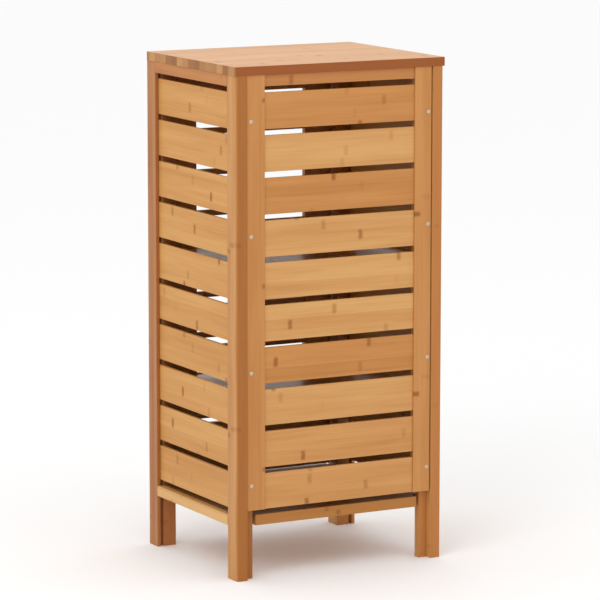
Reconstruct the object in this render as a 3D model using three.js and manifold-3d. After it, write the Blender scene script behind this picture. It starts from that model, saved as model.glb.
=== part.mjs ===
// Slatted bamboo cabinet on four short legs, with two shelves and a louvred door.
// Millimetres, +Z up, the origin on the floor under the middle of the whole cabinet.
// The fixed slatted panel faces -Y and the door faces +Y.

import * as THREE from 'three';
import { mergeVertices } from 'three/addons/utils/BufferGeometryUtils.js';
import Module from 'manifold-3d';

const wasm = await Module();
wasm.setup();

// ---------------------------------------------------------------- driving dimensions

const BODY_W = 395;            // over the outer faces of the legs, along X
const BODY_D = 335;            // over the outer faces of the legs, along Y
const LEG_H = 850;
const FIT = 0.3;               // play of a piece in its groove or against its neighbour

const TOP_T = 15;
const TOP_SIDE_LIP = 2.5;      // the top's overhang past the legs on the cabinet's sides
const TOP_BACK_LIP = 1;        // its overhang on the fixed panel's side
const TOP_DOOR_SETBACK = 6;    // it ends this far short of the door legs' faces
const TOP_ROUND = 2;

const LEG_DEPTH = 34;          // along Y, seen on the cabinet's sides
const LEG_WIDTH = 36;          // along X, with the tongue behind the panel's stile
const LEG_NOSE_W = 20;         // the part of a back leg seen beside the fixed panel
const TONGUE_T = 14;           // thickness of the leg's tongue behind that panel
const LEG_ROUND = 5;

const FOOT_H = 90.35;          // from the floor to the sides' bottom rail
const SLAT_GAP = 10.15;        // the slats share the height that the gaps leave
const SLAT_T = 6;
const SLAT_COUNT = 10;
const SLAT_INSET = 6.5;        // side slats, behind the outer face of the legs
const GROOVE_D = 8;            // slat grooves in the legs
const EASE = 1;                // eased edges of slats and rails

const TOP_RAIL_H = 19.5;
const BOTTOM_RAIL_H = 18.5;
const RAIL_T = SLAT_INSET + SLAT_T + FIT;

const STILE_W = 32;
const STILE_LIP = 2;           // wood behind the slats' groove in a stile
const STILE_LINE = 2;          // shadow line between the right stile and its leg's nose; the left one butts
const STILE_SETBACK = 1.5;
const PANEL_SLAT_SETBACK = 4.5;
const REBATE_PLAY = 0.5;       // between a stile and the leg's tongue behind it
const STILE_GROOVE_D = 6;

const SHELF_T = 15;
const SHELF_TOPS = { upper: 524, lower: 295 };  // heights over the floor
const SHELF_BACK_PLAY = 1.5;
const SHELF_DOOR_PLAY = 3;
const SHELF_CLEAT_W = 12;
const SHELF_CLEAT_H = 15;
const BASE_T = 18;
const BASE_NOTCH = 5;          // play between the base board and the legs
const BASE_BACK_LIP = 1;       // the board's edge in front of the rebate for the panel

const DOOR_T = 12;
const DOOR_SETBACK = 1;
const DOOR_GAP_HINGE = 2.4;    // room for the two hinge leaves
const DOOR_GAP_FREE = 1.6;
const DOOR_GAP_BOTTOM = 2.7;
const DOOR_GAP_TOP = 4;
const DOOR_STILE_W = 52.5;
const DOOR_TOP_RAIL_H = 58;
const DOOR_BOTTOM_RAIL_H = 95;
const LOUVRE_PITCH = 23.9;
const LOUVRE_H = 10.8;
const LOUVRE_LAST_GAP = 5;     // the least opening between the lowest louvre and the bottom rail
const LOUVRE_T = 8;
const LOUVRE_TENON = 5;
const RAIL_LAP = 1;            // the door's rails stop this far short of its stiles' outer edges

const HINGE_H = 50;
const HINGE_LEAF_T = 1;
const HINGE_LEAF_DEPTH = 11;
const HINGE_KNUCKLE_R = 2.4;
const HINGE_BORE_R = 1.3;
const HINGE_PIN_R = 1.2;
const HINGE_AXIS_OUT = 2.6;    // axis in front of the legs' faces
const HINGE_FROM_BOTTOM = 118.75;  // from the door's bottom edge to the lower hinge's middle
const HINGE_FROM_TOP = 116;    // from its top edge to the upper hinge's middle
const HINGE_PLAY = 0.1;        // from a leaf to the axis plane, and from a knuckle to the other leaf
const KNUCKLE_PLAY = 0.3;      // between two knuckles
const KNUCKLE_CLEAR = 0.25;

const KNOB_R = 13;
const KNOB_OUT = 24;
const KNOB_Z = 560;
const CATCH_W = 30;
const CATCH_H = 10;
const CATCH_D = 14;
const CATCH_GAP = 1.5;         // from the magnet to the closed door
const STRIKE_T = 1;
const STRIKE_INSET = 3;        // the strike is shorter than the magnet at each end
const STRIKE_PLAY = 0.1;       // between the strike and the door's face

// ---------------------------------------------------------------- derived places

const slatsSpan = LEG_H - TOP_RAIL_H - FOOT_H - BOTTOM_RAIL_H;
const SLAT_H = (slatsSpan - (SLAT_COUNT + 1) * SLAT_GAP) / SLAT_COUNT;
const PITCH = SLAT_H + SLAT_GAP;
const STILE_T = PANEL_SLAT_SETBACK - STILE_SETBACK + SLAT_T + STILE_LIP;
const REBATE_D = STILE_SETBACK + STILE_T + REBATE_PLAY;  // depth of the step the fixed panel sits in
const sideX = BODY_W / 2;
const overallD = TOP_BACK_LIP + BODY_D - DOOR_SETBACK + KNOB_OUT;
const backY = -overallD / 2 + TOP_BACK_LIP;
const frontY = backY + BODY_D;
const slatTopZ = LEG_H - TOP_RAIL_H - SLAT_GAP;
const slatZ = (i) => slatTopZ - i * PITCH - SLAT_H;
const panelBottomZ = slatZ(SLAT_COUNT - 1);
const railTopZ = panelBottomZ - SLAT_GAP;
const railBottomZ = railTopZ - BOTTOM_RAIL_H;

// ---------------------------------------------------------------- helpers

const BAMBOO = 0xcf9a5e;
const BAMBOO_DARK = 0xb87a42;
const STEEL = 0xb8b6b0;
const group = new THREE.Group();

function addPiece(name, geometry, color = BAMBOO, roughness = 0.45, metalness = 0) {
  const mesh = new THREE.Mesh(geometry, new THREE.MeshStandardMaterial({ color, roughness, metalness }));
  mesh.name = name;
  group.add(mesh);
  return mesh;
}

// A closed outline whose corners are [x, y] or [x, y, radius].
function outline(corners) {
  const path = new THREE.Shape();
  const count = corners.length;
  corners.forEach(([x, y, radius = 0], i) => {
    const here = new THREE.Vector2(x, y);
    const before = new THREE.Vector2(...corners[(i + count - 1) % count].slice(0, 2));
    const after = new THREE.Vector2(...corners[(i + 1) % count].slice(0, 2));
    const start = here.clone().add(before.sub(here).setLength(radius));
    const end = here.clone().add(after.sub(here).setLength(radius));
    if (i === 0) path.moveTo(start.x, start.y);
    else path.lineTo(start.x, start.y);
    if (radius > 0) path.quadraticCurveTo(x, y, end.x, end.y);
  });
  path.closePath();
  return path;
}

function rectangle(u0, u1, v0, v1, radius = 0) {
  return outline([[u0, v0, radius], [u1, v0, radius], [u1, v1, radius], [u0, v1, radius]]);
}

function extrude(shape, length, curveSegments = 4) {
  return new THREE.ExtrudeGeometry(shape, { depth: length, bevelEnabled: false, curveSegments });
}

// Turns that lay an extrusion along X or along Y.
const unitX = new THREE.Vector3(1, 0, 0);
const unitY = new THREE.Vector3(0, 1, 0);
const unitZ = new THREE.Vector3(0, 0, 1);
const alongX = new THREE.Matrix4().makeBasis(unitY, unitZ, unitX);
const alongY = new THREE.Matrix4().makeBasis(unitZ, unitX, unitY);

// A bar along X: its section is (y, z), rounded by EASE.
function barX(x0, x1, y0, y1, z0, z1, radius = EASE) {
  return extrude(rectangle(y0, y1, z0, z1, radius), x1 - x0, 3).applyMatrix4(alongX).translate(x0, 0, 0);
}

// A bar along Y: its section is (z, x), rounded by EASE.
function barY(x0, x1, y0, y1, z0, z1, radius = EASE) {
  return extrude(rectangle(z0, z1, x0, x1, radius), y1 - y0, 3).applyMatrix4(alongY).translate(0, y0, 0);
}

function box(x0, x1, y0, y1, z0, z1) {
  return new THREE.BoxGeometry(x1 - x0, y1 - y0, z1 - z0)
    .translate((x0 + x1) / 2, (y0 + y1) / 2, (z0 + z1) / 2);
}

// A plate seen from above, between two heights.
function plate(corners, z0, z1) {
  return extrude(outline(corners), z1 - z0).translate(0, 0, z0);
}

function toSolid(geometry) {
  const plain = geometry.clone();
  plain.deleteAttribute('normal');
  plain.deleteAttribute('uv');
  const merged = mergeVertices(plain, 1e-4);
  return new wasm.Manifold(new wasm.Mesh({
    numProp: 3,
    vertProperties: new Float32Array(merged.attributes.position.array),
    triVerts: new Uint32Array(merged.index.array),
  }));
}

function toGeometry(solid) {
  const mesh = solid.getMesh();
  const geometry = new THREE.BufferGeometry();
  geometry.setAttribute('position', new THREE.BufferAttribute(mesh.vertProperties, 3));
  geometry.setIndex(new THREE.BufferAttribute(mesh.triVerts, 1));
  geometry.computeVertexNormals();
  return geometry;
}

function join(geometries) {
  return toGeometry(geometries.map(toSolid).reduce((sum, solid) => sum.add(solid)));
}

// ---------------------------------------------------------------- legs

// Leg sections are drawn for the left side, measured from the leg's outer corner:
// u runs inwards along X and v runs inwards along Y.
const grooveNear = SLAT_INSET - FIT / 2;
const grooveFar = SLAT_INSET + SLAT_T + FIT / 2;
const grooveEnd = LEG_DEPTH - GROOVE_D;

const slatGroove = [
  [grooveFar, LEG_DEPTH, EASE],
  [grooveFar, grooveEnd],
  [grooveNear, grooveEnd],
  [grooveNear, LEG_DEPTH, EASE],
  [0, LEG_DEPTH, EASE],
];
const backLegSection = [
  [0, 0, LEG_ROUND],
  [LEG_NOSE_W, 0, EASE],
  [LEG_NOSE_W, REBATE_D],
  [LEG_WIDTH, REBATE_D, EASE],
  [LEG_WIDTH, REBATE_D + TONGUE_T, EASE],
  [LEG_NOSE_W, REBATE_D + TONGUE_T],
  [LEG_NOSE_W, LEG_DEPTH, EASE],
  ...slatGroove,
];
const doorLegSection = [
  [0, 0, LEG_ROUND],
  [LEG_WIDTH, 0, EASE],
  [LEG_WIDTH, LEG_DEPTH, EASE],
  ...slatGroove,
];

// Puts a section at one corner of the cabinet; mirrored sections are reversed to keep facing out.
function legAt(section, left, back) {
  const corners = section.map(([u, v, radius]) => [
    left ? -sideX + u : sideX - u,
    back ? backY + v : frontY - v,
    radius,
  ]);
  return plate(left === back ? corners : corners.reverse(), 0, LEG_H);
}

for (const left of [true, false]) {
  const side = left ? 'left' : 'right';
  addPiece(`leg_back_${side}`, legAt(backLegSection, left, true), BAMBOO_DARK);
  addPiece(`leg_door_${side}`, legAt(doorLegSection, left, false), BAMBOO_DARK);
}

// ---------------------------------------------------------------- sides

const slatEndBack = backY + grooveEnd + FIT;
const slatEndFront = frontY - grooveEnd - FIT;
const railEndBack = backY + LEG_DEPTH + FIT;
const railEndFront = frontY - LEG_DEPTH - FIT;

for (const left of [true, false]) {
  const side = left ? 'left' : 'right';
  const fromOutside = (near, far) => (left ? [-sideX + near, -sideX + far] : [sideX - far, sideX - near]);
  const railX = fromOutside(0, RAIL_T);
  const slatX = fromOutside(SLAT_INSET, SLAT_INSET + SLAT_T);
  const topRail = barY(...railX, railEndBack, railEndFront, LEG_H - TOP_RAIL_H, LEG_H);
  const bottomRail = barY(...railX, railEndBack, railEndFront, railBottomZ, railTopZ, 2 * EASE);
  addPiece(`side_${side}_top_rail`, topRail, BAMBOO_DARK);
  addPiece(`side_${side}_bottom_rail`, bottomRail, BAMBOO_DARK);
  for (let i = 0; i < SLAT_COUNT; i += 1) {
    const number = String(i + 1).padStart(2, '0');
    const slat = barY(...slatX, slatEndBack, slatEndFront, slatZ(i), slatZ(i) + SLAT_H);
    addPiece(`side_${side}_slat_${number}`, slat);
  }
}

// ---------------------------------------------------------------- fixed back panel

// A stile is seen from above: its groove opens towards the middle of the panel.
const stileInner = sideX - LEG_NOSE_W - STILE_LINE - STILE_W;
const stileY0 = backY + STILE_SETBACK;
const stileY1 = stileY0 + STILE_T;
const panelSlatY0 = backY + PANEL_SLAT_SETBACK;
const panelSlatY1 = panelSlatY0 + SLAT_T;
const stileGrooveX = stileInner + STILE_GROOVE_D;
const stileTopZ = LEG_H - FIT;

// Corners from the outer edge of a right stile inwards; a left one is its mirror image.
const stileSection = (outer) => [
  [outer, stileY1, EASE],
  [stileInner, stileY1, EASE],
  [stileInner, panelSlatY1 + FIT / 2],
  [stileGrooveX, panelSlatY1 + FIT / 2],
  [stileGrooveX, panelSlatY0 - FIT / 2],
  [stileInner, panelSlatY0 - FIT / 2],
  [stileInner, stileY0, EASE],
  [outer, stileY0, EASE],
];
const rightStile = stileSection(sideX - LEG_NOSE_W - STILE_LINE);
const leftStile = stileSection(sideX - LEG_NOSE_W - FIT).map(([x, y, radius]) => [-x, y, radius]).reverse();
addPiece('back_stile_right', plate(rightStile, panelBottomZ, stileTopZ));
addPiece('back_stile_left', plate(leftStile, panelBottomZ, stileTopZ));

const panelSlatX = stileGrooveX - FIT;
const backTopRail = barX(-panelSlatX, panelSlatX, panelSlatY0, panelSlatY1, LEG_H - TOP_RAIL_H, stileTopZ);
addPiece('back_top_rail', backTopRail);
for (let i = 0; i < SLAT_COUNT; i += 1) {
  const number = String(i + 1).padStart(2, '0');
  const slat = barX(-panelSlatX, panelSlatX, panelSlatY0, panelSlatY1, slatZ(i), slatZ(i) + SLAT_H);
  addPiece(`back_slat_${number}`, slat);
}

// ---------------------------------------------------------------- base board and shelves

// A board between the sides, with a notch around each leg.
function notchedBoard(halfWidth, notchX, y0, y1, z0, z1) {
  const stepBack = backY + LEG_DEPTH + FIT;
  const stepFront = frontY - LEG_DEPTH - FIT;
  return plate([
    [-notchX, y0, EASE], [notchX, y0, EASE], [notchX, stepBack], [halfWidth, stepBack],
    [halfWidth, stepFront], [notchX, stepFront], [notchX, y1, EASE], [-notchX, y1, EASE],
    [-notchX, stepFront], [-halfWidth, stepFront], [-halfWidth, stepBack], [-notchX, stepBack],
  ], z0, z1);
}

const innerHalf = sideX - RAIL_T - FIT;
const legInner = sideX - LEG_WIDTH;
const baseTopZ = railTopZ - FIT;
const baseBackY = backY + REBATE_D - BASE_BACK_LIP;
const baseFrontY = frontY - DOOR_SETBACK;
const baseBottomZ = baseTopZ - BASE_T;
const baseNotchX = legInner - BASE_NOTCH;
addPiece('base_board', notchedBoard(innerHalf, baseNotchX, baseBackY, baseFrontY, baseBottomZ, baseTopZ));

const doorInnerY = frontY - DOOR_SETBACK - DOOR_T;
const shelfBackY = stileY1 + SHELF_BACK_PLAY;
const shelfFrontY = doorInnerY - SHELF_DOOR_PLAY;
for (const [level, topZ] of Object.entries(SHELF_TOPS)) {
  const bottomZ = topZ - SHELF_T;
  const shelf = notchedBoard(innerHalf, legInner - FIT, shelfBackY, shelfFrontY, bottomZ, topZ);
  addPiece(`shelf_${level}`, shelf);
  for (const left of [true, false]) {
    const x0 = left ? -innerHalf : innerHalf - SHELF_CLEAT_W;
    const cleat = barY(x0, x0 + SHELF_CLEAT_W, railEndBack, railEndFront, bottomZ - SHELF_CLEAT_H, bottomZ);
    addPiece(`shelf_${level}_cleat_${left ? 'left' : 'right'}`, cleat, BAMBOO_DARK);
  }
}

// ---------------------------------------------------------------- top board

const topHalf = sideX + TOP_SIDE_LIP;
const topShape = rectangle(-topHalf, topHalf, backY - TOP_BACK_LIP, frontY - TOP_DOOR_SETBACK, TOP_ROUND);
addPiece('top_board', extrude(topShape, TOP_T).translate(0, 0, LEG_H));

// ---------------------------------------------------------------- louvred door

const doorX0 = -legInner + DOOR_GAP_FREE;
const doorX1 = legInner - DOOR_GAP_HINGE;
const doorY0 = doorInnerY;
const doorY1 = doorInnerY + DOOR_T;
const doorZ0 = baseTopZ + DOOR_GAP_BOTTOM;
const doorZ1 = LEG_H - DOOR_GAP_TOP;
const louvreY0 = (doorY0 + doorY1 - LOUVRE_T) / 2;
const louvreGap = LOUVRE_PITCH - LOUVRE_H;
const louvreTop = doorZ1 - DOOR_TOP_RAIL_H - louvreGap;
const doorBottomRailTop = doorZ0 + DOOR_BOTTOM_RAIL_H;
const louvreRoom = louvreTop - LOUVRE_H - doorBottomRailTop - LOUVRE_LAST_GAP;
const louvreCount = Math.floor(louvreRoom / LOUVRE_PITCH) + 1;

const doorParts = [
  box(doorX0, doorX0 + DOOR_STILE_W, doorY0, doorY1, doorZ0, doorZ1),
  box(doorX1 - DOOR_STILE_W, doorX1, doorY0, doorY1, doorZ0, doorZ1),
  box(doorX0 + RAIL_LAP, doorX1 - RAIL_LAP, doorY0, doorY1, doorZ1 - DOOR_TOP_RAIL_H, doorZ1),
  box(doorX0 + RAIL_LAP, doorX1 - RAIL_LAP, doorY0, doorY1, doorZ0, doorBottomRailTop),
];
const louvreX0 = doorX0 + DOOR_STILE_W - LOUVRE_TENON;
const louvreX1 = doorX1 - DOOR_STILE_W + LOUVRE_TENON;
for (let i = 0; i < louvreCount; i += 1) {
  const z1 = louvreTop - i * LOUVRE_PITCH;
  doorParts.push(box(louvreX0, louvreX1, louvreY0, louvreY0 + LOUVRE_T, z1 - LOUVRE_H, z1));
}
addPiece('door_panel', join(doorParts));

// Turned knob: a profile about Z, laid over to point out of the door.
const knobProfile = [
  [0, 0], [6.5, 0], [6.5, 2], [5.2, 6], [6, 10], [10, 13.5], [KNOB_R, 17],
  [KNOB_R, 19.5], [11.5, 22.4], [8, KNOB_OUT - 0.4], [0, KNOB_OUT],
].map(([radius, out]) => new THREE.Vector2(radius, out));
const knob = new THREE.LatheGeometry(knobProfile, 32);
const knobMesh = addPiece('door_knob', knob, BAMBOO_DARK);
knobMesh.position.set(doorX0 + DOOR_STILE_W / 2, doorY1, KNOB_Z);

// ---------------------------------------------------------------- hinges

const hingeX = legInner - DOOR_GAP_HINGE / 2;
const hingeY = frontY + HINGE_AXIS_OUT;
const leafNearY = hingeY - HINGE_BORE_R - HINGE_PLAY;
const leafBodyY = hingeY - HINGE_KNUCKLE_R - KNUCKLE_CLEAR;
const leafFarY = leafNearY - HINGE_LEAF_DEPTH;
const KNUCKLES = 3;
const knuckleH = HINGE_H / KNUCKLES;

function ring(z0, z1) {
  const shape = new THREE.Shape();
  shape.absarc(0, 0, HINGE_KNUCKLE_R, 0, 2 * Math.PI);
  const bore = new THREE.Path();
  bore.absarc(0, 0, HINGE_BORE_R, 0, 2 * Math.PI, true);
  shape.holes.push(bore);
  return extrude(shape, z1 - z0, 12).translate(hingeX, hingeY, z0);
}

// One leaf: a plate with its own knuckles; side +1 is screwed to the leg and -1 to the door.
function hingeLeaf(side, midZ, knuckles) {
  const low = midZ - HINGE_H / 2;
  const x0 = hingeX + (side > 0 ? HINGE_PLAY : -HINGE_PLAY - HINGE_LEAF_T);
  const x1 = x0 + HINGE_LEAF_T;
  const parts = [box(x0, x1, leafFarY, leafBodyY, low, low + HINGE_H)];
  for (const k of knuckles) {
    const z0 = low + k * knuckleH + (k === 0 ? 0 : KNUCKLE_PLAY / 2);
    const z1 = low + (k + 1) * knuckleH - (k === KNUCKLES - 1 ? 0 : KNUCKLE_PLAY / 2);
    parts.push(ring(z0, z1));
    parts.push(box(x0, x1, leafBodyY - KNUCKLE_CLEAR, leafNearY, z0, z1));
  }
  return join(parts);
}

[doorZ0 + HINGE_FROM_BOTTOM, doorZ1 - HINGE_FROM_TOP].forEach((midZ, i) => {
  const place = i === 0 ? 'lower' : 'upper';
  addPiece(`hinge_${place}_leg_leaf`, hingeLeaf(1, midZ, [0, 2]), STEEL, 0.35, 0.9);
  addPiece(`hinge_${place}_door_leaf`, hingeLeaf(-1, midZ, [1]), STEEL, 0.35, 0.9);
  const pin = new THREE.CylinderGeometry(HINGE_PIN_R, HINGE_PIN_R, HINGE_H, 24);
  pin.rotateX(Math.PI / 2).translate(hingeX, hingeY, midZ);
  addPiece(`hinge_${place}_pin`, pin, STEEL, 0.3, 0.95);
});

// ---------------------------------------------------------------- magnetic catch

const catchX = doorX0 + DOOR_STILE_W / 2;
const catchZ1 = SHELF_TOPS.upper - SHELF_T - FIT;
const catchZ0 = catchZ1 - CATCH_H;
const catchY1 = doorInnerY - CATCH_GAP;
const strikeY1 = doorInnerY - STRIKE_PLAY;
const catchHalf = CATCH_W / 2;
const strikeHalf = catchHalf - STRIKE_INSET;
const magnet = box(catchX - catchHalf, catchX + catchHalf, catchY1 - CATCH_D, catchY1, catchZ0, catchZ1);
const strike = box(catchX - strikeHalf, catchX + strikeHalf, strikeY1 - STRIKE_T, strikeY1, catchZ0, catchZ1);
addPiece('catch_magnet', magnet, 0xd8d4cc, 0.5);
addPiece('catch_strike', strike, STEEL, 0.35, 0.9);

export default group;
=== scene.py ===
import math

import bmesh
import bpy
from mathutils import Matrix, Vector


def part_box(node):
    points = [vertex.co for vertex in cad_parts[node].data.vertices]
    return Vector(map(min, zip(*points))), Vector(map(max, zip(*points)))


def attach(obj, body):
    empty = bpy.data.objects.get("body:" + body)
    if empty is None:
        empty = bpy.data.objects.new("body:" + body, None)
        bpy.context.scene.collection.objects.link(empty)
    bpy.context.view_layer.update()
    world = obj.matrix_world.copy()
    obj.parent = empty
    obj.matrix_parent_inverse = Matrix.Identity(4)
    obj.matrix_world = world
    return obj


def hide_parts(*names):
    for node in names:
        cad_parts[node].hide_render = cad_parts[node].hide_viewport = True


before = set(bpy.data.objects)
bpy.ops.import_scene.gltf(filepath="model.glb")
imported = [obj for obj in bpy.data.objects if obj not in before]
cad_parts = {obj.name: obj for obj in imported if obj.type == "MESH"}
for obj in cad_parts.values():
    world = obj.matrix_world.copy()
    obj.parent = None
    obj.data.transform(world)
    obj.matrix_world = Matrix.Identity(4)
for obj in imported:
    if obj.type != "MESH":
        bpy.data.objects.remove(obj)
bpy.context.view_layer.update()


# Posts: four square legs glued up from carbonised bamboo strips, planed, rounded on the outer
# corner and dipped in satin lacquer. The strips stand upright; slats and rails slot into them.

def linear(hex_colour):
    """The linear RGBA of an sRGB hex colour."""
    parts = [int(hex_colour[i:i + 2], 16) / 255 for i in (1, 3, 5)]
    return [c / 12.92 if c <= 0.04045 else ((c + 0.055) / 1.055) ** 2.4 for c in parts] + [1]


def add(tree, kind, fields=None, values=None, links=None):
    """Adds a node with its fields, its plain input values and the sockets that feed it."""
    node = tree.nodes.new("ShaderNode" + kind)
    for field, value in (fields or {}).items():
        setattr(node, field, value)
    for socket, value in (values or {}).items():
        node.inputs[socket].default_value = value
    for socket, source in (links or {}).items():
        tree.links.new(source, node.inputs[socket])
    return node


def new_material(name):
    """An empty material's node tree, with its shader wired to the output."""
    material = bpy.data.materials.new(name)
    material.use_nodes = True
    tree = material.node_tree
    tree.nodes.clear()
    shader = add(tree, "BsdfPrincipled")
    add(tree, "OutputMaterial", links={"Surface": shader.outputs[0]})
    return material, tree, shader


def cover(material, names):
    """Puts a material on CAD nodes."""
    for name in names:
        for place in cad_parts[name].material_slots:
            place.material = material


GRAIN_X, GRAIN_Y, GRAIN_Z = 0, 1, 2
BACKED = 0.05    # a strip width over any thin slat's thickness: one strip goes right through


def laminated_bamboo(name, grain, strips, light, dark, seed, contrast=0.5, side_on=None, marks=1.0,
                     ends=("#8a5320", "#c08a4e"), roughness=(0.36, 0.5), sheen=0.25):
    """Bamboo glued up from strips and lacquered satin. grain is the axis that the strips run along,
    and strips their width and thickness in metres along the next two axes. Each strip has its own
    tone between light and dark, long fibre streaks, and a brown mark where the cane had a node.
    side_on is the axis whose faces show the strips' narrow, redder sides, with that colour."""
    material, tree, shader = new_material(name)
    where = add(tree, "TexCoord")
    xyz = add(tree, "SeparateXYZ", links={0: where.outputs["Object"]})
    facing = add(tree, "SeparateXYZ", links={0: where.outputs["Normal"]})
    along = xyz.outputs[grain]
    across = [xyz.outputs[(grain + k) % 3] for k in (1, 2)]

    # Which strip a point is in, and four random numbers for that strip.
    cells, scaled = [], []
    for axis, (coordinate, width) in enumerate(zip(across, strips)):
        scaled.append(add(tree, "Math", {"operation": "MULTIPLY_ADD"},
                          {1: 1 / width, 2: 0.37 + 0.2 * axis}, {0: coordinate}))
        cells.append(add(tree, "Math", {"operation": "FLOOR"}, links={0: scaled[axis].outputs[0]}))
    broad = scaled[1] if strips[0] == BACKED else scaled[0]
    cell = add(tree, "CombineXYZ", values={2: seed},
               links={0: cells[0].outputs[0], 1: cells[1].outputs[0]})
    chance = add(tree, "TexWhiteNoise", links={0: cell.outputs[0]})
    chances = add(tree, "SeparateColor", links={0: chance.outputs["Color"]})

    # Fibres: streaks about 4 mm wide and 150 mm long, coarser than real vascular bundles so that
    # they still show, and broad clouds of tone about 18 mm wide and 250 mm long.
    streaks_per_metre, clouds_per_metre = (7, 260, 260), (4, 55, 55)
    stretched = add(tree, "CombineXYZ", links={0: along, 1: across[0], 2: across[1]})
    streak_place = add(tree, "Mapping", values={"Scale": streaks_per_metre},
                       links={0: stretched.outputs[0]})
    streak = add(tree, "TexNoise", values={"Scale": 1, "Detail": 3, "Roughness": 0.6},
                 links={"Vector": streak_place.outputs[0]})
    cloud_place = add(tree, "Mapping", values={"Scale": clouds_per_metre, "Location": (seed, 0, 0)},
                      links={0: stretched.outputs[0]})
    cloud = add(tree, "TexNoise", values={"Scale": 1, "Detail": 2, "Roughness": 0.5},
                links={"Vector": cloud_place.outputs[0]})

    # Tone of the strip, pulled about by the clouds, then darkened by the streaks.
    tone = add(tree, "Math", {"operation": "MULTIPLY"}, {1: contrast}, {0: chance.outputs["Value"]})
    drift = add(tree, "MapRange",
                values={"From Min": 0.3, "From Max": 0.7, "To Min": -0.25, "To Max": 0.45},
                links={"Value": cloud.outputs["Fac"]})
    toned = add(tree, "Math", {"operation": "ADD", "use_clamp": True},
                links={0: tone.outputs[0], 1: drift.outputs[0]})
    strip_colour = add(tree, "Mix", {"data_type": "RGBA"}, {6: linear(light), 7: linear(dark)},
                       {0: toned.outputs[0]})
    if side_on is not None:
        axis, side_colour = side_on
        turned = add(tree, "Math", {"operation": "ABSOLUTE"}, links={0: facing.outputs[axis]})
        strip_colour = add(tree, "Mix", {"data_type": "RGBA"}, {7: linear(side_colour)},
                           {0: turned.outputs[0], 6: strip_colour.outputs[2]})
    fibre = add(tree, "MapRange",
                values={"From Min": 0.45, "From Max": 0.75, "To Min": 0, "To Max": 0.17},
                links={"Value": streak.outputs["Fac"]})
    fibred = add(tree, "Mix", {"data_type": "RGBA", "blend_type": "MULTIPLY"}, {7: linear("#c98e55")},
                 {0: fibre.outputs[0], 6: strip_colour.outputs[2]})

    # Node marks: a soft brown bar, every 310 mm of a strip, that fades out 6.5 mm to each side of its
    # middle and towards the strip's sides. Most are faint and a few are strong.
    node_spacing, mark_core, mark_reach, mark_wander = 0.31, 0.001, 0.0065, 0.012
    travel = add(tree, "Math", {"operation": "MULTIPLY_ADD"}, {1: 1 / node_spacing},
                 {0: along, 2: chances.outputs[1]})
    wobble = add(tree, "Math", {"operation": "MULTIPLY_ADD"}, {1: mark_wander},
                 {0: streak.outputs["Fac"], 2: travel.outputs[0]})
    distances = []
    for source in (wobble, broad):
        phase = add(tree, "Math", {"operation": "FRACT"}, links={0: source.outputs[0]})
        centred = add(tree, "Math", {"operation": "SUBTRACT"}, {1: 0.5}, {0: phase.outputs[0]})
        distances.append(add(tree, "Math", {"operation": "ABSOLUTE"}, links={0: centred.outputs[0]}))
    bar = add(tree, "MapRange", {"interpolation_type": "SMOOTHSTEP"},
              {"From Min": mark_core / node_spacing, "From Max": mark_reach / node_spacing,
               "To Min": marks, "To Max": 0},
              {"Value": distances[0].outputs[0]})
    side_fade = add(tree, "MapRange", {"interpolation_type": "SMOOTHSTEP"},
                    {"From Min": 0.25, "From Max": 0.5, "To Min": 1, "To Max": 0.1},
                    {"Value": distances[1].outputs[0]})
    spot = add(tree, "Math", {"operation": "MULTIPLY"},
               links={0: bar.outputs[0], 1: side_fade.outputs[0]})
    rarity = add(tree, "Math", {"operation": "POWER"}, {1: 1.6}, {0: chances.outputs[2]})
    strength = add(tree, "Math", {"operation": "MULTIPLY"},
                   links={0: spot.outputs[0], 1: rarity.outputs[0]})
    marked = add(tree, "Mix", {"data_type": "RGBA", "blend_type": "MULTIPLY"}, {7: linear("#c2a578")},
                 {0: strength.outputs[0], 6: fibred.outputs[2]})

    # End grain: the cut strips as darker and lighter blocks, speckled with fibre bundles 2 mm apart.
    bundles_per_metre = 520
    end_on = add(tree, "Math", {"operation": "ABSOLUTE"}, links={0: facing.outputs[grain]})
    is_end = add(tree, "Math", {"operation": "GREATER_THAN"}, {1: 0.7}, {0: end_on.outputs[0]})
    bundles = add(tree, "TexVoronoi", values={"Scale": bundles_per_metre},
                  links={"Vector": where.outputs["Object"]})
    speckle = add(tree, "MapRange",
                  values={"From Min": 0.1, "From Max": 0.6, "To Min": 0.35, "To Max": 0},
                  links={"Value": bundles.outputs["Distance"]})
    block = add(tree, "Mix", {"data_type": "RGBA"}, {6: linear(ends[0]), 7: linear(ends[1])},
                {0: chances.outputs[0]})
    cut = add(tree, "Mix", {"data_type": "RGBA"}, {7: linear("#7d4a22")},
              {0: speckle.outputs[0], 6: block.outputs[2]})
    colour = add(tree, "Mix", {"data_type": "RGBA"},
                 links={0: is_end.outputs[0], 6: marked.outputs[2], 7: cut.outputs[2]})
    tree.links.new(colour.outputs[2], shader.inputs["Base Color"])

    # Satin lacquer: even gloss, a little duller over the open fibres.
    gloss = add(tree, "MapRange", values={"To Min": roughness[0], "To Max": roughness[1]},
                links={"Value": streak.outputs["Fac"]})
    tree.links.new(gloss.outputs[0], shader.inputs["Roughness"])
    fibre_relief = 0.0002
    relief = add(tree, "Bump", values={"Strength": 0.12, "Distance": fibre_relief},
                 links={"Height": streak.outputs["Fac"]})
    tree.links.new(relief.outputs[0], shader.inputs["Normal"])
    shader.inputs["IOR"].default_value = 1.5
    shader.inputs["Specular IOR Level"].default_value = sheen
    shader.inputs["Coat Weight"].default_value = 0.05
    shader.inputs["Coat Roughness"].default_value = 0.25
    return material


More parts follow.
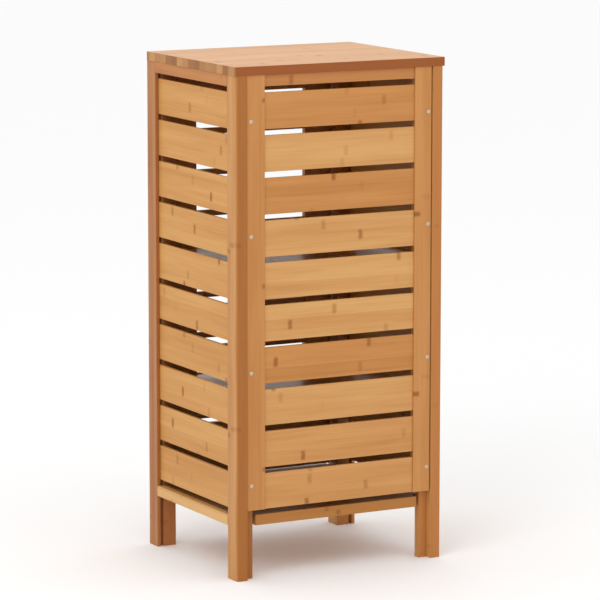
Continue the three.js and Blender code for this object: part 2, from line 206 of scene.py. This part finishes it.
# The left post on the door's side is darker all over. The left post on the panel's side has the same
# strips as the right-hand posts, with darker faces towards the panel and the door.
post_strips = (0.0115, 0.0115)
post = laminated_bamboo("carbonised_bamboo_post_side_pressed_satin", GRAIN_Z, post_strips,
                        "#c89256", "#b3773a", seed=3, contrast=0.6,
                        side_on=(GRAIN_Y, "#b37339"), marks=0.6)
near_post = laminated_bamboo("carbonised_bamboo_post_dark_edged_satin", GRAIN_Z, post_strips,
                             "#c89256", "#b3773a", seed=8, contrast=0.6,
                             side_on=(GRAIN_Y, "#a06228"), marks=0.6)
dark_post = laminated_bamboo("carbonised_bamboo_post_dark_satin", GRAIN_Z, post_strips,
                             "#b47a47", "#9c602e", seed=11, contrast=0.6,
                             side_on=(GRAIN_Y, "#a66837"), marks=0.6)
cover(post, ["leg_back_right", "leg_door_right"])
cover(near_post, ["leg_back_left"])
cover(dark_post, ["leg_door_left"])


# Top board: one panel glued up from broad flat strips that run along its length, cut square and
# eased round its edge. Its ends show the cut strips as blocks, and its long edges their dark sides.

top_strips = (0.021, BACKED)
top = laminated_bamboo("bamboo_panel_flat_pressed_satin", GRAIN_X, top_strips, "#dca56d", "#cb8f52",
                       seed=14, contrast=0.45, side_on=(GRAIN_Y, "#914e19"), marks=0.7, sheen=0.28)
cover(top, ["top_board"])


# Sides: on each side a top rail, a bottom rail and ten thin slats, planed from flat-pressed
# board and pushed into the posts' grooves. The slats are pale, and the top rails darker: their
# colour is painted shade from the top board just above them.

slat_numbers = [f"{i:02d}" for i in range(1, 11)]
side_slats = [f"side_{side}_slat_{number}" for side in ("left", "right") for number in slat_numbers]
side_slat = laminated_bamboo("bamboo_slat_flat_pressed_pale_satin", GRAIN_Y, (0.0205, BACKED),
                             "#cc9858", "#be8445", seed=21, contrast=0.6, sheen=0.12)
# The top rails' darker colours are painted shade from the top board's edge above them.
upper_rail = laminated_bamboo("bamboo_rail_side_pressed_painted_shade_satin", GRAIN_Y, (0.0098, 0.02),
                              "#bd7e40", "#ac6c33", seed=29, contrast=0.6)
lower_rail = laminated_bamboo("bamboo_rail_side_pressed_pale_satin", GRAIN_Y, (0.0098, 0.02),
                              "#d4a566", "#c5914f", seed=31, contrast=0.6)
cover(side_slat, side_slats)
cover(upper_rail, ["side_left_top_rail", "side_right_top_rail"])
cover(lower_rail, ["side_left_bottom_rail", "side_right_bottom_rail"])


# Fixed panel: two stiles and a thin top rail with ten slats between them, all flat-pressed. The
# slats come from canes of several tones, as they were picked from the stack.

pale_slat = laminated_bamboo("bamboo_slat_flat_pressed_light_satin", GRAIN_X, (BACKED, 0.0205),
                             "#cc9b5f", "#bd854b", seed=35, contrast=0.5)
warm_slat = laminated_bamboo("bamboo_slat_flat_pressed_caramel_satin", GRAIN_X, (BACKED, 0.0205),
                             "#bf8447", "#af7338", seed=41, contrast=0.6)
middle_slat = laminated_bamboo("bamboo_slat_flat_pressed_honey_satin", GRAIN_X, (BACKED, 0.0205),
                               "#c99257", "#b98046", seed=43, contrast=0.6)
# The top rail's darker colour is painted shade from the top board that overhangs it.
panel_rail = laminated_bamboo("bamboo_rail_flat_pressed_painted_shade_satin", GRAIN_X, (BACKED, 0.0205),
                              "#b67a41", "#a86d36", seed=45, contrast=0.6)
slat_tones = [warm_slat, pale_slat, warm_slat, pale_slat, pale_slat,
              pale_slat, warm_slat, pale_slat, middle_slat, middle_slat]
for number, tone in zip(slat_numbers, slat_tones):
    cover(tone, [f"back_slat_{number}"])
cover(panel_rail, ["back_top_rail"])
stile = laminated_bamboo("bamboo_stile_flat_pressed_satin", GRAIN_Z, (0.0205, BACKED),
                         "#c0864b", "#b2763c", seed=47, contrast=0.6)
cover(stile, ["back_stile_left", "back_stile_right"])


# Screws: four through each stile into the post behind it. Low round zinc-plated heads with a
# hexagon socket, driven down until they bite into the wood. The plating is a pale warm grey
# with a soft gloss, a little mottled at about 1 mm.

head_radius, head_rise, head_sunk = 0.0036, 0.0009, 0.0004
head_edge, head_flat_inset = 0.0006, 0.001
socket_flat, socket_depth = 0.0016, 0.0007
plating_spots_per_metre = 900
head_from_inner_edge = 0.026
screw_heights = (0.042, 0.2335, 0.463, 0.6545)

zinc, tree, shader = new_material("zinc_plated_steel_passivated")
shader.inputs["Base Color"].default_value = linear("#c9b79c")
shader.inputs["Metallic"].default_value = 1
plating = add(tree, "TexNoise", values={"Scale": plating_spots_per_metre, "Detail": 2},
              links={"Vector": add(tree, "TexCoord").outputs["Object"]})
plating_gloss = add(tree, "MapRange", values={"To Min": 0.28, "To Max": 0.5},
                    links={"Value": plating.outputs["Fac"]})
tree.links.new(plating_gloss.outputs[0], shader.inputs["Roughness"])


def finished(mesh_in_hand, name, material, body, smooth_angle=35):
    """Closes a bmesh into an object that rides on a body, smooth except over sharp edges."""
    bmesh.ops.recalc_face_normals(mesh_in_hand, faces=mesh_in_hand.faces)
    for face in mesh_in_hand.faces:
        face.smooth = True
    for edge in mesh_in_hand.edges:
        if len(edge.link_faces) == 2 and edge.calc_face_angle(0) > math.radians(smooth_angle):
            edge.smooth = False
    mesh = bpy.data.meshes.new(name)
    mesh_in_hand.to_mesh(mesh)
    mesh_in_hand.free()
    mesh.materials.append(material)
    piece = bpy.data.objects.new(name, mesh)
    bpy.context.scene.collection.objects.link(piece)
    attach(piece, body)
    return piece


def screw_head(name, place, body, toward):
    """A low round head with a hexagon socket, at a point, facing along a direction."""
    head = bmesh.new()
    depth = head_rise + head_sunk
    bmesh.ops.create_cone(head, cap_ends=True, segments=36, radius1=head_radius,
                          radius2=head_radius, depth=depth)
    bmesh.ops.translate(head, verts=head.verts, vec=(0, 0, depth / 2 - head_sunk))
    rim = [e for e in head.edges if all(v.co.z > head_rise - 1e-6 for v in e.verts)]
    bmesh.ops.bevel(head, geom=rim, offset=head_edge, offset_type="OFFSET", affect="EDGES",
                    segments=4, profile=0.5, material=-1)
    crown = max(head.faces, key=lambda f: f.calc_center_median().z)
    bmesh.ops.inset_region(head, faces=[crown], thickness=head_flat_inset)
    for v in crown.verts:
        turn = math.atan2(v.co.y, v.co.x)
        sector = (turn + math.pi / 6) % (math.pi / 3) - math.pi / 6
        flat = socket_flat / math.cos(sector)
        v.co.x, v.co.y = flat * math.cos(turn), flat * math.sin(turn)
    floor_of_socket = bmesh.ops.extrude_face_region(head, geom=[crown])
    sunk = [g for g in floor_of_socket["geom"] if isinstance(g, bmesh.types.BMVert)]
    bmesh.ops.delete(head, geom=[crown], context="FACES_ONLY")
    bmesh.ops.translate(head, verts=sunk, vec=(0, 0, -socket_depth))
    turn_out = Vector((0, 0, 1)).rotation_difference(Vector(toward)).to_matrix()
    bmesh.ops.rotate(head, verts=head.verts, cent=(0, 0, 0), matrix=turn_out)
    bmesh.ops.translate(head, verts=head.verts, vec=place)
    piece = finished(head, name, zinc, body)


for side, inner_edge, outward in (("left", 1, -1), ("right", 0, 1)):
    stile_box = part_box(f"back_stile_{side}")
    for count, height in enumerate(screw_heights, 1):
        across_stile = stile_box[inner_edge].x + outward * head_from_inner_edge
        place = (across_stile, stile_box[0].y, stile_box[0].z + height)
        screw_head(f"stile_screw_{side}_{count}", place, "cabinet", (0, -1, 0))


# Shelves and base: three boards of flat-pressed bamboo, notched round the posts. The shelves lie on
# cleats screwed to the sides. Inside they keep more gloss, because nothing wears them.

shelf = laminated_bamboo("bamboo_board_flat_pressed_gloss", GRAIN_X, (0.021, 0.0075), "#b57e45",
                         "#a36a33", seed=53, contrast=0.5, side_on=(GRAIN_Y, "#96571f"),
                         roughness=(0.22, 0.34), sheen=0.5)
base = laminated_bamboo("bamboo_board_flat_pressed_satin", GRAIN_X, (0.021, 0.0075), "#b57e45",
                        "#a36a33", seed=57, contrast=0.5, side_on=(GRAIN_Y, "#aa7133"))
cover(shelf, ["shelf_upper", "shelf_lower"])
cover(base, ["base_board"])
cleat = laminated_bamboo("bamboo_cleat_side_pressed_satin", GRAIN_Y, (0.0075, 0.012),
                         "#b0763c", "#9b612c", seed=59, contrast=0.5)
cover(cleat, [f"shelf_{level}_cleat_{side}"
              for level in ("upper", "lower") for side in ("left", "right")])


# Door: upright stiles and cross rails with flat louvre bars tenoned between them, glued up as one
# frame. Its stiles' strips stand upright, and its rails and louvres' strips lie across.

door_upright = laminated_bamboo("bamboo_door_stile_flat_pressed_satin", GRAIN_Z, (0.0205, BACKED),
                                "#bd8346", "#ae7338", seed=61, contrast=0.6)
door_across = laminated_bamboo("bamboo_door_rail_flat_pressed_satin", GRAIN_X, (BACKED, 0.0205),
                               "#bd8346", "#ae7338", seed=73, contrast=0.6)
door_stile_width = 0.0525
door_rail_height, door_bottom_rail_height = 0.058, 0.095
louvre_pitch, louvre_height, louvre_thickness = 0.0239, 0.0108, 0.008
louvre_last_gap = 0.005
stile_ease, rail_ease, louvre_ease = 0.0012, 0.0008, 0.0015
seam = 0.00015    # the hairline between a stile and the rails' ends


def board(name, low, high, ease, material, body):
    """A planed board between two corners, its edges eased to a radius."""
    wood = bmesh.new()
    size = high - low
    bmesh.ops.create_cube(wood, size=1, matrix=Matrix.Diagonal((*size, 1)))
    bmesh.ops.translate(wood, verts=wood.verts, vec=(low + high) / 2)
    bmesh.ops.bevel(wood, geom=wood.edges[:], offset=ease, offset_type="OFFSET", affect="EDGES",
                    segments=3, profile=0.5, material=-1)
    return finished(wood, name, material, body, smooth_angle=40)


def door_part(name, x0, x1, y0, y1, z0, z1, ease, material):
    """One board of the door, which with the others stands for the door's CAD node."""
    piece = board(name, Vector((x0, y0, z0)), Vector((x1, y1, z1)), ease, material, "door")
    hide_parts("door_panel")


door_low, door_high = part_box("door_panel")
inner_left, inner_right = door_low.x + door_stile_width, door_high.x - door_stile_width
door_part("door_stile_free", door_low.x, inner_left - seam, door_low.y, door_high.y,
          door_low.z, door_high.z, stile_ease, door_upright)
door_part("door_stile_hinge", inner_right + seam, door_high.x, door_low.y, door_high.y,
          door_low.z, door_high.z, stile_ease, door_upright)
door_part("door_rail_top", inner_left, inner_right, door_low.y, door_high.y,
          door_high.z - door_rail_height, door_high.z, rail_ease, door_across)
louvre_top = door_high.z - door_rail_height - (louvre_pitch - louvre_height)
rail_top = door_low.z + door_bottom_rail_height
louvre_room = louvre_top - louvre_height - rail_top - louvre_last_gap
louvre_count = int(louvre_room / louvre_pitch) + 1
door_part("door_rail_bottom", inner_left, inner_right, door_low.y, door_high.y,
          door_low.z, rail_top, rail_ease, door_across)
louvre_y = (door_low.y + door_high.y - louvre_thickness) / 2
for count in range(louvre_count):
    top_z = louvre_top - count * louvre_pitch
    door_part(f"door_louvre_{count + 1:02d}", inner_left, inner_right,
              louvre_y, louvre_y + louvre_thickness, top_z - louvre_height, top_z,
              louvre_ease, door_across)


# Knob: turned from one glued block, sanded on the lathe and lacquered, screwed on from inside.
# The turning cuts across the strips, so its crown shows them as rings of tone.

knob_low, knob_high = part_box("door_knob")
knob_middle = (knob_low + knob_high) / 2
knob_radius = (knob_high.x - knob_low.x) / 2
knob_out = knob_high.y - knob_low.y
# Radius and distance from the door, as shares of the knob's own radius and length.
knob_profile = [(0, 0), (0.5, 0), (0.5, 0.05), (0.42, 0.16), (0.4, 0.28), (0.46, 0.42), (0.66, 0.54),
                (0.9, 0.64), (1, 0.75), (0.98, 0.84), (0.86, 0.93), (0.6, 0.98), (0.3, 0.995), (0, 1)]
knob_mesh = bmesh.new()
ring = [knob_mesh.verts.new((knob_radius * r, knob_out * out, 0)) for r, out in knob_profile]
rim_edges = [knob_mesh.edges.new(pair) for pair in zip(ring, ring[1:])]
bmesh.ops.spin(knob_mesh, geom=ring + rim_edges, cent=(0, 0, 0), axis=(0, 1, 0), dvec=(0, 0, 0),
               angle=2 * math.pi, steps=72, use_merge=True)
bmesh.ops.remove_doubles(knob_mesh, verts=knob_mesh.verts, dist=1e-6)
bmesh.ops.translate(knob_mesh, verts=knob_mesh.verts, vec=(knob_middle.x, knob_low.y, knob_middle.z))
knob_bamboo = laminated_bamboo("bamboo_turned_knob_satin", GRAIN_Y, (0.009, 0.009), "#b87c45",
                               "#9c6029", seed=67, contrast=0.8, marks=0,
                               ends=("#a86c38", "#c0854c"), roughness=(0.25, 0.38))
knob = finished(knob_mesh, "turned_knob", knob_bamboo, "door", smooth_angle=60)
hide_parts("door_knob")


# Hinges: two butt hinges of rolled steel strip with a satin nickel plate. The leaves are let into
# the narrow gap between post and door, so that only the knuckles and pin ends are seen. The plate
# is a cool pale grey with fine upright brushing, which draws its highlight out into a streak.

brush_lines_per_metre = (2400, 2400, 60)
nickel, tree, shader = new_material("steel_nickel_plated_satin")
shader.inputs["Base Color"].default_value = linear("#c2beb4")
shader.inputs["Metallic"].default_value = 1
where = add(tree, "TexCoord")
brushing = add(tree, "Mapping", values={"Scale": brush_lines_per_metre},
               links={0: where.outputs["Object"]})
lines = add(tree, "TexNoise", values={"Scale": 1, "Detail": 2}, links={"Vector": brushing.outputs[0]})
line_gloss = add(tree, "MapRange", values={"To Min": 0.25, "To Max": 0.45},
                 links={"Value": lines.outputs["Fac"]})
tree.links.new(line_gloss.outputs[0], shader.inputs["Roughness"])
cover(nickel, [f"hinge_{place}_{part}"
               for place in ("lower", "upper") for part in ("leg_leaf", "door_leaf", "pin")])
cover(nickel, ["catch_strike"])


# Catch: a magnet in a moulded ABS housing under the upper shelf, which holds the strike plate on
# the door's back. Spark-eroded mould, so the plastic has a fine even grain and a dull soft gloss.

grits_per_metre, grit_height = 1400, 0.0001
abs_plastic, tree, shader = new_material("abs_moulded_fine_texture")
grit = add(tree, "TexNoise", values={"Scale": grits_per_metre, "Detail": 1},
           links={"Vector": add(tree, "TexCoord").outputs["Object"]})
grain_colour = add(tree, "Mix", {"data_type": "RGBA"}, {6: linear("#d3cfc7"), 7: linear("#e0ddd6")},
                   {0: grit.outputs["Fac"]})
tree.links.new(grain_colour.outputs[2], shader.inputs["Base Color"])
grit_relief = add(tree, "Bump", values={"Strength": 0.3, "Distance": grit_height},
                  links={"Height": grit.outputs["Fac"]})
tree.links.new(grit_relief.outputs[0], shader.inputs["Normal"])
shader.inputs["Roughness"].default_value = 0.5
cover(abs_plastic, ["catch_magnet"])


# Studio: a white paper floor without a seam, white light from all round, and two soft boxes, a
# large one at the upper left and a weaker one in front.

floor_half_width = 30
paper, tree, shader = new_material("paper_matt_white")
shader.inputs["Base Color"].default_value = linear("#fbfbfb")
shader.inputs["Roughness"].default_value = 0.9
floor_mesh = bmesh.new()
bmesh.ops.create_grid(floor_mesh, x_segments=1, y_segments=1, size=floor_half_width)
floor_data = bpy.data.meshes.new("floor")
floor_mesh.to_mesh(floor_data)
floor_mesh.free()
floor_data.materials.append(paper)
floor = bpy.data.objects.new("floor", floor_data)
bpy.context.scene.collection.objects.link(floor)

world = bpy.data.worlds.new("white_room")
world.use_nodes = True
room = world.node_tree.nodes["Background"]
room.inputs["Color"].default_value = (1, 1, 1, 1)
room.inputs["Strength"].default_value = 1.0
bpy.context.scene.world = world
bpy.context.scene.view_settings.view_transform = "Standard"


def soft_box(name, place, target, size, power):
    """A square soft light that faces a point."""
    light = bpy.data.lights.new(name, "AREA")
    light.size = size
    light.energy = power
    lamp = bpy.data.objects.new(name, light)
    lamp.location = place
    lamp.rotation_euler = (Vector(target) - Vector(place)).to_track_quat("-Z", "Y").to_euler()
    bpy.context.scene.collection.objects.link(lamp)


soft_box("key_light", (-2.2, -1.6, 2.6), (0, 0, 0.5), 1.6, 22)
soft_box("front_light", (0.9, -3.2, 1.4), (0, 0, 0.45), 1.8, 5)

camera_pitch, camera_roll, camera_yaw = 9.088, -0.045, 28.512    # degrees; pitch is downwards
camera_data = bpy.data.cameras.new("camera")
camera_data.sensor_width = 36
camera_data.lens = 218.31
camera = bpy.data.objects.new("camera", camera_data)
camera.location = (-2.9444, -5.4529, 1.4301)
camera.rotation_euler = (math.radians(90 - camera_pitch), math.radians(camera_roll),
                         math.radians(-camera_yaw))
bpy.context.scene.collection.objects.link(camera)
bpy.context.scene.camera = camera
